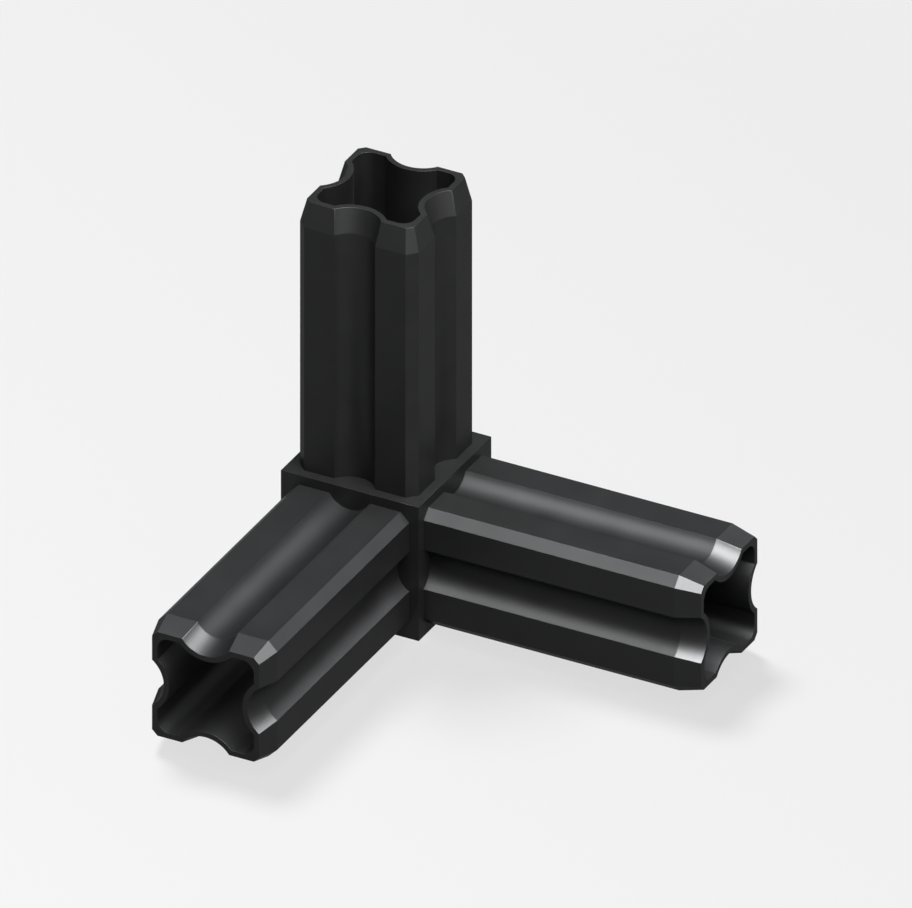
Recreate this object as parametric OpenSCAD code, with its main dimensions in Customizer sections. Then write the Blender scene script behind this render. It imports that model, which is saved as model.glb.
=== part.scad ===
// Three-way corner connector for square tube.
// One moulded piece: a cube hub with three hollow limbs at right angles to each other.
// A tube slides over each limb and stops on the hub, flush with the hub's faces.
// The limbs point along +X, +Y and +Z, and the hub's underside lies on z = 0 with its middle at
// the origin.

/* [Tube] */
// Outside width of the square tube, which is also the side of the hub's cube
tube_size = 23.5; // [20:0.5:40]
// Wall thickness of the tube, which is the width of the seat around each limb
tube_wall = 1.5; // [1:0.1:2.5]
// Gap between the inside of the tube and each flat of a limb
tube_gap = 0.125; // [0.05:0.025:0.3]

/* [Limb] */
// Length of a limb, from the face of the hub to the tip
limb_len = 46.7; // [20:0.1:90]
// Leg of the chamfer along each corner of a limb
corner_chamfer = 1.5; // [0.5:0.1:2.2]
// Radius of the round channel along the middle of each side of a limb
channel_r = 4; // [3.4:0.05:4.6]
// Depth of the channel below the flats beside it
channel_depth = 2; // [1:0.05:3]

/* [Lead-in] */
// Length of the tapered tip that finds its way into the tube
lead_len = 4; // [2:0.1:8]
// How far every outer face of the tip leans in, channels and chamfers too
lead_inset = 1; // [0.4:0.05:1.3]

/* [Hollow] */
// Wall of a limb, the same behind its flats and its channels
limb_wall = 1.9; // [1.6:0.05:2.4]
// Radius in the corners of the hollow
pocket_r = 2; // [0.5:0.1:2.4]
// How far a hollow runs on into the hub, past the face that the tube stops on
hollow_reach = 1.3; // [0:0.1:2]

/* [Hidden] */
$fn = 96;
hub_mid = tube_size / 2;
limb_w = tube_size - 2 * (tube_wall + tube_gap);
// Half the distance between opposite chamfers
chamfer_mid = (limb_w - corner_chamfer) / sqrt(2);
// Distance from the limb's axis to a channel's axis, which lies outside the flats
channel_at = limb_w / 2 + channel_r - channel_depth;
hollow_w = limb_w - 2 * limb_wall;
tip_at = hub_mid + limb_len;
lead_at = tip_at - lead_len;
hollow_from = hub_mid - hollow_reach;
limb_turns = [[0, 0, 0], [0, 90, 0], [-90, 0, 0]];
overcut = 1;
overcut_inset = lead_inset * (lead_len + overcut) / lead_len;

// Turns a limb, or anything else along +Z, to each of the three limb directions
module at_each_limb() {
    for (turn = limb_turns) translate([0, 0, hub_mid]) rotate(turn) children();
}

// Bar seen from the side: two parallel flanks, which lean in at the tip
module leaning_bar(half) {
    rotate([90, 0, 0]) linear_extrude(2 * limb_w, center = true) polygon([
        [-half, 0], [half, 0], [half, lead_at],
        [half - lead_inset, tip_at], [lead_inset - half, tip_at], [-half, lead_at]
    ]);
}

// Round channel, straight along the limb and opening like a cone over the lead-in
module channel() {
    translate([channel_at, 0, 0]) {
        translate([0, 0, hub_mid]) cylinder(h = lead_at - hub_mid, r = channel_r);
        translate([0, 0, lead_at])
            cylinder(h = lead_len + overcut, r1 = channel_r, r2 = channel_r + overcut_inset);
    }
}

// Outside of a limb: a square bar with chamfered corners and a channel in each side
module limb_outside() {
    difference() {
        intersection() {
            intersection_for (turn = [0, 90]) rotate(turn) leaning_bar(limb_w / 2);
            intersection_for (turn = [45, 135]) rotate(turn) leaning_bar(chamfer_mid);
        }
        for (turn = [0 : 90 : 270]) rotate(turn) channel();
    }
}

module rounded_square(side, r) {
    square([side, side - 2 * r], center = true);
    square([side - 2 * r, side], center = true);
    for (x = [-1, 1], y = [-1, 1]) translate([x, y] * (side / 2 - r)) circle(r);
}

// Hollow of a limb: its wall follows the channels, so that ridges stand between four pockets
module limb_hollow() {
    translate([0, 0, hollow_from]) linear_extrude(tip_at - hollow_from + overcut) difference() {
        rounded_square(hollow_w, pocket_r);
        for (turn = [0 : 90 : 270]) rotate(turn)
            translate([channel_at, 0]) circle(channel_r + limb_wall);
    }
}

module corner_connector() {
    color([0.13, 0.13, 0.13]) difference() {
        union() {
            translate([0, 0, hub_mid]) cube(tube_size, center = true);
            at_each_limb() limb_outside();
        }
        at_each_limb() limb_hollow();
    }
}

corner_connector();
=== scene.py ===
import bpy
import bmesh
import math
from mathutils import Matrix, Vector


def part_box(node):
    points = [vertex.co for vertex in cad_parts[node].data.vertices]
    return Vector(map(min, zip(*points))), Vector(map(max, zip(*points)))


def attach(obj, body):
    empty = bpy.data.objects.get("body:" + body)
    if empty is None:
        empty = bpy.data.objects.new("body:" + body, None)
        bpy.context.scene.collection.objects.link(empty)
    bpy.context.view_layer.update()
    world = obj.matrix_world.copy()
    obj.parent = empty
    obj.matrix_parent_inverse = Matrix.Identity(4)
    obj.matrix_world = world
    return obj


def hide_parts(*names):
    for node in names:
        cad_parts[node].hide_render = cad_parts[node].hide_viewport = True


# A three-way corner connector for square tube: one moulded piece of black plastic.
# Metres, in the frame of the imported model: limbs along +X, +Y and +Z, hub standing on z = 0.

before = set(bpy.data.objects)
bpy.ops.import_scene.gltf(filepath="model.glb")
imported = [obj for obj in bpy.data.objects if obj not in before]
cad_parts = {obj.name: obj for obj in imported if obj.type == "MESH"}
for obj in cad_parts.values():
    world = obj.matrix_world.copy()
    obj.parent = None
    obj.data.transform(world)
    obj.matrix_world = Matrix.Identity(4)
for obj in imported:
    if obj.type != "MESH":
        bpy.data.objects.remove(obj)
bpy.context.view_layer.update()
print("frame loaded:", sorted(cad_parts))

# The hub's size and the limbs' reach come from the frame
boxLow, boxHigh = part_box("corner_connector")
hubHalf = -boxLow.x
hubCentre = Vector((0, 0, hubHalf))
tipAt = boxHigh.x             # from the hub's middle to the tip of a limb


# Camera

cameraSet = {
    "azimuth": 117.75,        # degrees; 0 looks along +Y
    "elevation": 30.99,       # degrees above the floor
    "frameWidth": 0.13747,    # across the picture, which has no perspective
    "aimRight": 0.01054,      # from the hub's middle to the picture's
    "aimUp": 0.00998,
    "distance": 0.6,
    "clipNear": 0.01,
    "clipFar": 10.0,
}


def makeCamera():
    turn = math.radians(cameraSet["azimuth"])
    rise = math.radians(cameraSet["elevation"])
    back = Vector((math.sin(turn) * math.cos(rise),
                   -math.cos(turn) * math.cos(rise),
                   math.sin(rise)))
    right = Vector((math.cos(turn), math.sin(turn), 0))
    up = back.cross(right)
    aim = hubCentre + right * cameraSet["aimRight"] + up * cameraSet["aimUp"]
    bpy.ops.object.camera_add()
    camera = bpy.context.object
    camera.name = "pictureCamera"
    camera.data.type = "ORTHO"
    camera.data.ortho_scale = cameraSet["frameWidth"]
    turned = Matrix((right, up, back)).transposed().to_4x4()
    camera.matrix_world = Matrix.Translation(aim + back * cameraSet["distance"]) @ turned
    camera.data.clip_start = cameraSet["clipNear"]
    camera.data.clip_end = cameraSet["clipFar"]
    bpy.context.scene.camera = camera


makeCamera()
print("camera made")


# Floor and light

floorSet = {
    "side": 6.0,
    "level": -0.00002,        # a hair below the hub's underside
    "colour": (0.86, 0.86, 0.86, 1),
    "roughness": 0.9,
    "steadyShare": 0.75,      # share of its tone that no shadow touches
    "paintedLightFar": 0.838,         # that tone at the far right of the picture, the dim end of a painted fall of light
    "paintedLightNear": 0.974,        # and at the near left, its bright end
    "paintedLightAlong": (0.992, -0.129, 0.0),
    "paintedLightReach": 0.15,        # from the middle to where each of the two is reached
}
worldSet = {
    "colour": (1.0, 1.0, 1.0, 1),
    "strength": 0.16,
    "toneBelow": 0.86,        # below the horizon, where it is seen past the floor's edge
}
# Direction is where a lamp stands, seen from the hub; power is in watts
lampSet = {
    "overhead": {
        "direction": (-0.236, -0.336, 0.912), "distance": 1.5, "size": 0.45,
        "power": 20.6, "onlyGloss": False, "castsShadow": True,
    },
    "shineNear": {
        "direction": (0.360, 0.302, 0.883), "distance": 1.0, "size": 0.95,
        "power": 184.0, "onlyGloss": True, "castsShadow": True,
    },
    "shineFar": {
        "direction": (-0.010, 0.515, 0.857), "distance": 1.0, "size": 0.95,
        "power": 86.0, "onlyGloss": True, "castsShadow": True,
    },
    # A little shine that also reaches into the hollows
    "shineInside": {
        "direction": (-0.010, 0.515, 0.857), "distance": 1.0, "size": 0.95,
        "power": 59.0, "onlyGloss": True, "castsShadow": False,
    },
}


# What a math node gives; each input is a number or another node's output
def addMath(tree, operation, *inputs):
    node = tree.nodes.new("ShaderNodeMath")
    node.operation = operation
    for index, value in enumerate(inputs):
        if isinstance(value, (int, float)):
            node.inputs[index].default_value = value
        else:
            tree.links.new(value, node.inputs[index])
    return node.outputs["Value"]


# 1 where a surface is seen, straight or in gloss and glass, and 0 where it only gives light
def addSeen(tree):
    path = tree.nodes.new("ShaderNodeLightPath")
    seen = path.outputs["Is Camera Ray"]
    for ray in ("Is Glossy Ray", "Is Transmission Ray"):
        seen = addMath(tree, "MAXIMUM", seen, path.outputs[ray])
    return seen


def makePaper():
    paper = bpy.data.materials.new("palePaper")
    paper.use_nodes = True
    tree = paper.node_tree
    shader = tree.nodes["Principled BSDF"]
    shader.inputs["Base Color"].default_value = floorSet["colour"]
    shader.inputs["Roughness"].default_value = floorSet["roughness"]
    shader.inputs["Specular IOR Level"].default_value = 0
    # Where it is seen, part of its tone is steady
    share = addMath(tree, "MULTIPLY", addSeen(tree), floorSet["steadyShare"])
    # The steady part grows a little paler from the far right to the near left: painted light, a
    # fall of light across the floor painted into its glow
    position = tree.nodes.new("ShaderNodeTexCoord")
    along = tree.nodes.new("ShaderNodeVectorMath")
    along.operation = "DOT_PRODUCT"
    along.inputs[1].default_value = floorSet["paintedLightAlong"]
    tree.links.new(position.outputs["Object"], along.inputs[0])
    tone = tree.nodes.new("ShaderNodeMapRange")
    tone.inputs["From Min"].default_value = -floorSet["paintedLightReach"]
    tone.inputs["From Max"].default_value = floorSet["paintedLightReach"]
    tone.inputs["To Min"].default_value = floorSet["paintedLightFar"]
    tone.inputs["To Max"].default_value = floorSet["paintedLightNear"]
    tree.links.new(along.outputs["Value"], tone.inputs["Value"])
    steady = tree.nodes.new("ShaderNodeEmission")
    tree.links.new(tone.outputs["Result"], steady.inputs["Strength"])
    mixed = tree.nodes.new("ShaderNodeMixShader")
    tree.links.new(share, mixed.inputs["Fac"])
    tree.links.new(shader.outputs["BSDF"], mixed.inputs[1])
    tree.links.new(steady.outputs["Emission"], mixed.inputs[2])
    # From below it can be looked through
    geometry = tree.nodes.new("ShaderNodeNewGeometry")
    clear = tree.nodes.new("ShaderNodeBsdfTransparent")
    sided = tree.nodes.new("ShaderNodeMixShader")
    tree.links.new(geometry.outputs["Backfacing"], sided.inputs["Fac"])
    tree.links.new(mixed.outputs["Shader"], sided.inputs[1])
    tree.links.new(clear.outputs["BSDF"], sided.inputs[2])
    tree.links.new(sided.outputs["Shader"], tree.nodes["Material Output"].inputs["Surface"])
    return paper


def makeFloor():
    bpy.ops.object.select_all(action="DESELECT")
    bpy.ops.mesh.primitive_plane_add(size=floorSet["side"], location=(0, 0, floorSet["level"]))
    floor = bpy.context.object
    floor.name = "floor"
    floor.data.materials.append(makePaper())


def makeWorld():
    world = bpy.data.worlds.new("studio")
    bpy.context.scene.world = world
    world.use_nodes = True
    tree = world.node_tree
    background = tree.nodes["Background"]
    background.inputs["Color"].default_value = worldSet["colour"]
    # Below the horizon it has the floor's tone where it is seen
    position = tree.nodes.new("ShaderNodeTexCoord")
    axes = tree.nodes.new("ShaderNodeSeparateXYZ")
    tree.links.new(position.outputs["Generated"], axes.inputs["Vector"])
    below = addMath(tree, "LESS_THAN", axes.outputs["Z"], 0)
    shown = addMath(tree, "MULTIPLY", below, addSeen(tree))
    step = worldSet["toneBelow"] - worldSet["strength"]
    strength = addMath(tree, "MULTIPLY_ADD", shown, step, worldSet["strength"])
    tree.links.new(strength, background.inputs["Strength"])


def makeLamp(name, values):
    direction = Vector(values["direction"]).normalized()
    bpy.ops.object.light_add(type="AREA")
    lamp = bpy.context.object
    lamp.name = name
    lamp.data.shape = "DISK"
    lamp.data.size = values["size"]
    lamp.data.energy = values["power"]
    lamp.location = hubCentre + direction * values["distance"]
    lamp.rotation_mode = "QUATERNION"
    lamp.rotation_quaternion = direction.to_track_quat("Z", "Y")
    lamp.visible_diffuse = not values["onlyGloss"]
    lamp.visible_glossy = values["onlyGloss"]
    lamp.data.use_shadow = values["castsShadow"]
    lamp.visible_camera = False


makeFloor()
makeWorld()
for lampName, lampValues in lampSet.items():
    makeLamp(lampName, lampValues)
bpy.context.scene.view_settings.view_transform = "Standard"
print("floor and lamps made")


# Plastic

# A satin moulding: fine even grain from the mould, and a faint unevenness in its sheen and tone
plasticSet = {
    "colour": (0.0041, 0.0047, 0.0053, 1),
    "paleColour": (0.0055, 0.0061, 0.0069, 1),
    "roughness": 0.43,
    "roughnessShift": 0.015,
    "ior": 1.05,              # low, for little sheen at a glancing look
    "glossTint": (21.4, 21.4, 21.4, 1),
    "mottleSize": 0.005,
    "mottleDetail": 3,
    "mottleLow": 0.3,         # span of the mottle that the shift is spread over
    "mottleHigh": 0.7,
    "grainSize": 0.00016,
    "grainDetail": 2,
    "grainDepth": 0.0000004,
}


def addNoise(tree, position, size, detail):
    noise = tree.nodes.new("ShaderNodeTexNoise")
    noise.inputs["Scale"].default_value = 1 / size
    noise.inputs["Detail"].default_value = detail
    tree.links.new(position.outputs["Object"], noise.inputs["Vector"])
    return noise


def makePlastic():
    plastic = bpy.data.materials.new("blackPlastic")
    plastic.use_nodes = True
    tree = plastic.node_tree
    shader = tree.nodes["Principled BSDF"]
    shader.inputs["IOR"].default_value = plasticSet["ior"]
    shader.inputs["Specular Tint"].default_value = plasticSet["glossTint"]
    position = tree.nodes.new("ShaderNodeTexCoord")
    mottle = addNoise(tree, position, plasticSet["mottleSize"], plasticSet["mottleDetail"])
    sheen = tree.nodes.new("ShaderNodeMapRange")
    sheen.inputs["From Min"].default_value = plasticSet["mottleLow"]
    sheen.inputs["From Max"].default_value = plasticSet["mottleHigh"]
    sheen.inputs["To Min"].default_value = plasticSet["roughness"] - plasticSet["roughnessShift"]
    sheen.inputs["To Max"].default_value = plasticSet["roughness"] + plasticSet["roughnessShift"]
    tree.links.new(mottle.outputs["Fac"], sheen.inputs["Value"])
    tree.links.new(sheen.outputs["Result"], shader.inputs["Roughness"])
    tone = tree.nodes.new("ShaderNodeMix")
    tone.data_type = "RGBA"
    tone.inputs["A"].default_value = plasticSet["colour"]
    tone.inputs["B"].default_value = plasticSet["paleColour"]
    grain = addNoise(tree, position, plasticSet["grainSize"], plasticSet["grainDetail"])
    tree.links.new(grain.outputs["Fac"], tone.inputs["Factor"])
    tree.links.new(tone.outputs["Result"], shader.inputs["Base Color"])
    bump = tree.nodes.new("ShaderNodeBump")
    bump.inputs["Distance"].default_value = plasticSet["grainDepth"]
    tree.links.new(grain.outputs["Fac"], bump.inputs["Height"])
    tree.links.new(bump.outputs["Normal"], shader.inputs["Normal"])
    return plastic


blackPlastic = makePlastic()
print("plastic made")


# Connector

connectorSet = {
    "limbWidth": 0.02025,     # across the flats
    "chamferLeg": 0.0015,
    "chamferSteps": 1,
    "channelRadius": 0.004,
    "channelDepth": 0.002,
    "leadLength": 0.004,      # the tapered tip
    "leadInset": 0.001,
    "wall": 0.0019,
    "pocketRadius": 0.002,
    "pocketSteps": 12,
    "hollowReach": 0.0013,    # how far a hollow runs on into the hub
    "overcut": 0.001,         # how far its cutter stands out of the tip
    "arcSteps": 20,           # segments in half a channel, and in half a ridge
    "edgeRound": 0.00002,
    "roundSteps": 2,
    "edgeAngle": 9.0,         # degrees; a flatter edge is a curve's own segment
    "shadingWeight": 100,     # how strongly the larger faces set the shading
}
limbFlat = connectorSet["limbWidth"] / 2
channelAxis = limbFlat + connectorSet["channelRadius"] - connectorSet["channelDepth"]
leadAt = tipAt - connectorSet["leadLength"]
nearby = 1e-6                 # points closer than this are one
acrossLimb = 0.9              # a face whose normal is steeper than this lies across the limb


def selectOnly(piece):
    bpy.ops.object.select_all(action="DESELECT")
    piece.select_set(True)
    bpy.context.view_layer.objects.active = piece


def editOnly(piece, mode):
    selectOnly(piece)
    bpy.ops.object.mode_set(mode="EDIT")
    bpy.ops.mesh.select_mode(type=mode)


# Selects the vertices, edges or faces that pass a test
def selectWhere(piece, kind, test):
    bpy.ops.mesh.select_all(action="DESELECT")
    shape = bmesh.from_edit_mesh(piece.data)
    for part in getattr(shape, kind):
        part.select = test(part)
    shape.select_flush_mode()
    bmesh.update_edit_mesh(piece.data)


# Turns all normals outwards and leaves edit mode
def closeShape():
    bpy.ops.mesh.select_all(action="SELECT")
    bpy.ops.mesh.normals_make_consistent(inside=False)
    bpy.ops.object.mode_set(mode="OBJECT")


# A flat square outline across +Z, with an arc round each channel's axis cut into its sides
def makeOutline(name, flatAt, arcRadius, cornerSize, cornerSteps, height):
    halfAngle = math.acos((channelAxis - flatAt) / arcRadius)
    bpy.ops.object.select_all(action="DESELECT")
    bpy.ops.mesh.primitive_plane_add(location=(0, 0, 0))
    outline = bpy.context.object
    outline.name = name
    editOnly(outline, "VERT")
    # The plane shrinks to a point, which draws half a side: the arc from its middle outwards,
    # then the flat up to the square's corner
    bpy.ops.mesh.select_all(action="SELECT")
    bpy.ops.mesh.merge(type="CENTER")
    bpy.ops.transform.translate(value=(channelAxis - arcRadius, 0, height))
    bpy.ops.mesh.spin(steps=connectorSet["arcSteps"], angle=halfAngle,
                      center=(channelAxis, 0, height), axis=(0, 0, 1))
    flatRun = flatAt - arcRadius * math.sin(halfAngle)
    bpy.ops.mesh.extrude_region_move(TRANSFORM_OT_translate={"value": (0, flatRun, 0)})
    # The other half is mirrored, and the whole side repeated four times round
    bpy.ops.mesh.select_all(action="SELECT")
    bpy.ops.mesh.duplicate()
    bpy.ops.transform.resize(value=(1, -1, 1), center_override=(0, 0, 0))
    bpy.ops.mesh.select_all(action="SELECT")
    bpy.ops.mesh.spin(steps=4, dupli=True, angle=math.tau,
                      center=(0, 0, height), axis=(0, 0, 1))
    bpy.ops.mesh.select_all(action="SELECT")
    bpy.ops.mesh.remove_doubles(threshold=nearby)
    bpy.ops.mesh.edge_face_add()
    # The square's corners are cut or rounded
    selectWhere(outline, "verts", lambda v: min(abs(v.co.x), abs(v.co.y)) > flatAt - nearby)
    bpy.ops.mesh.bevel(offset=cornerSize, affect="VERTICES", segments=cornerSteps)
    bpy.ops.object.mode_set(mode="OBJECT")
    return outline


# Raises an outline into a closed bar
def raiseBar(outline, length):
    editOnly(outline, "FACE")
    bpy.ops.mesh.select_all(action="SELECT")
    bpy.ops.mesh.extrude_region_move(TRANSFORM_OT_translate={"value": (0, 0, length)})
    closeShape()


# The two faces between which the tip tapers
def endsLead(face):
    return abs(face.normal.z) > acrossLimb and face.calc_center_median().z > leadAt - nearby


# The outside of the limb along +Z, from inside the hub to its tapered tip
def makeLimb():
    inset = connectorSet["leadInset"]
    steps = connectorSet["chamferSteps"]
    limbFrom = hubHalf / 2
    limb = makeOutline("limb", limbFlat, connectorSet["channelRadius"],
                       connectorSet["chamferLeg"], steps, limbFrom)
    raiseBar(limb, leadAt - limbFrom)
    # Flats, chamfers and channels all lean in by the same step, which makes the chamfer narrower
    tipLeg = connectorSet["chamferLeg"] - (2 - math.sqrt(2)) * inset
    makeOutline("tip", limbFlat - inset, connectorSet["channelRadius"] + inset,
                tipLeg, steps, tipAt)
    # The tip's outline is still selected, so the two become one mesh
    limb.select_set(True)
    bpy.context.view_layer.objects.active = limb
    bpy.ops.object.join()
    editOnly(limb, "FACE")
    selectWhere(limb, "faces", endsLead)
    bpy.ops.mesh.bridge_edge_loops()
    bpy.ops.mesh.select_mode(type="EDGE")
    selectWhere(limb, "edges", lambda e: e.is_boundary)
    bpy.ops.mesh.edge_face_add()
    closeShape()
    return limb


# The hollow of the same limb, with a ridge behind each channel between rounded pockets
def makeHollow():
    wall = connectorSet["wall"]
    hollowFrom = hubHalf - connectorSet["hollowReach"]
    hollow = makeOutline("hollow", limbFlat - wall, connectorSet["channelRadius"] + wall,
                         connectorSet["pocketRadius"], connectorSet["pocketSteps"], hollowFrom)
    raiseBar(hollow, tipAt + connectorSet["overcut"] - hollowFrom)
    return hollow


# A copy laid along +X or +Y
def layAlong(piece, axis, angle):
    selectOnly(piece)
    bpy.ops.object.duplicate()
    laid = bpy.context.object
    editOnly(laid, "FACE")
    bpy.ops.mesh.select_all(action="SELECT")
    bpy.ops.transform.rotate(value=angle, orient_axis=axis, center_override=(0, 0, 0))
    bpy.ops.object.mode_set(mode="OBJECT")
    return laid


def makeConnector():
    quarter = math.pi / 2
    limb = makeLimb()
    hollow = makeHollow()
    limbs = [limb, layAlong(limb, "Y", -quarter), layAlong(limb, "X", quarter)]
    hollows = [hollow, layAlong(hollow, "Y", -quarter), layAlong(hollow, "X", quarter)]
    # The hub, with its middle at the origin until the limbs are on
    bpy.ops.object.select_all(action="DESELECT")
    bpy.ops.mesh.primitive_cube_add(size=2 * hubHalf, location=(0, 0, 0))
    piece = bpy.context.object
    piece.name = "connector"
    for tools, operation in ((limbs, "UNION"), (hollows, "DIFFERENCE")):
        for tool in tools:
            step = piece.modifiers.new(tool.name, "BOOLEAN")
            step.object = tool
            step.operation = operation
            step.solver = "EXACT"
            bpy.ops.object.modifier_apply(modifier=step.name)
            bpy.data.objects.remove(tool)
    editOnly(piece, "VERT")
    bpy.ops.mesh.select_all(action="SELECT")
    bpy.ops.transform.translate(value=hubCentre)
    bpy.ops.mesh.remove_doubles(threshold=nearby)
    closeShape()
    return piece


# A mould leaves every outward edge very slightly round, and the inward ones crisp
def roundEdges(piece):
    limit = math.radians(connectorSet["edgeAngle"])
    editOnly(piece, "EDGE")
    selectWhere(piece, "edges", lambda e: e.calc_face_angle(0) > limit and not e.is_convex)
    bpy.ops.mesh.mark_sharp()
    selectWhere(piece, "edges", lambda e: e.calc_face_angle(0) > limit and e.is_convex)
    bpy.ops.transform.edge_bevelweight(value=1)
    bpy.ops.object.mode_set(mode="OBJECT")
    rounds = piece.modifiers.new("rounds", "BEVEL")
    rounds.width = connectorSet["edgeRound"]
    rounds.segments = connectorSet["roundSteps"]
    rounds.limit_method = "WEIGHT"
    bpy.ops.object.modifier_apply(modifier=rounds.name)
    bpy.ops.object.shade_smooth()
    shading = piece.modifiers.new("shading", "WEIGHTED_NORMAL")
    shading.weight = connectorSet["shadingWeight"]
    shading.keep_sharp = True
    bpy.ops.object.modifier_apply(modifier=shading.name)


connector = makeConnector()
roundEdges(connector)
connector.data.materials.append(blackPlastic)
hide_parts("corner_connector")
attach(connector, "root")
print("connector made:", len(connector.data.polygons), "faces")
